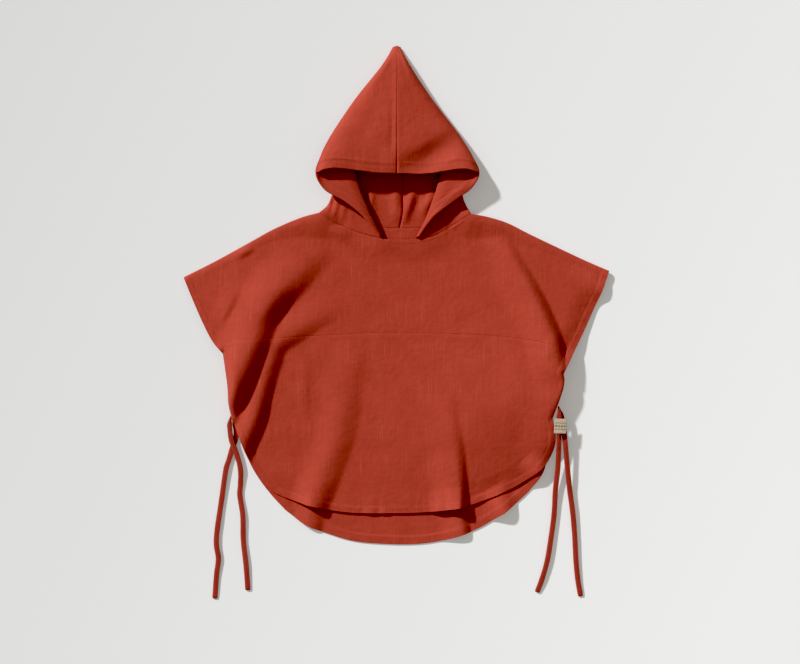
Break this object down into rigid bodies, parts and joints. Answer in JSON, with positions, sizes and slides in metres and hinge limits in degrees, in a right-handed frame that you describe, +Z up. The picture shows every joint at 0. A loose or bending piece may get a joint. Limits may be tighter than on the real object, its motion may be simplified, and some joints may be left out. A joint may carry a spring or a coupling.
{
  "type": "hooded bath poncho",
  "caption": "Toddler's hooded bath poncho in soft cotton gauze, laid flat face up, with a pointed hood, wide sleeves, a rounded open-sided body and side ties.",
  "frame": {"origin": "centre of the laid-out poncho, without its ties, at the surface it lies on", "axes": "+X to the poncho's right side as it is seen from above, +Y towards the point of the hood, +Z up from the surface"},
  "size_m": [0.637, 0.8283, 0.0363],
  "materials": {
    "gauze": "matte plain-woven cotton double gauze, brick red",
    "label_tape": "matte woven cotton tape, cream"
  },
  "bodies": {
    "root": {"back": "gauze", "front_yoke": "gauze", "front_skirt": "gauze", "hood_left": "gauze", "hood_right": "gauze", "tie_left_inner": "gauze", "tie_left_outer": "gauze", "tie_right_inner": "gauze", "tie_right_outer": "gauze", "label": "label_tape"}
  },
  "joints": []
}
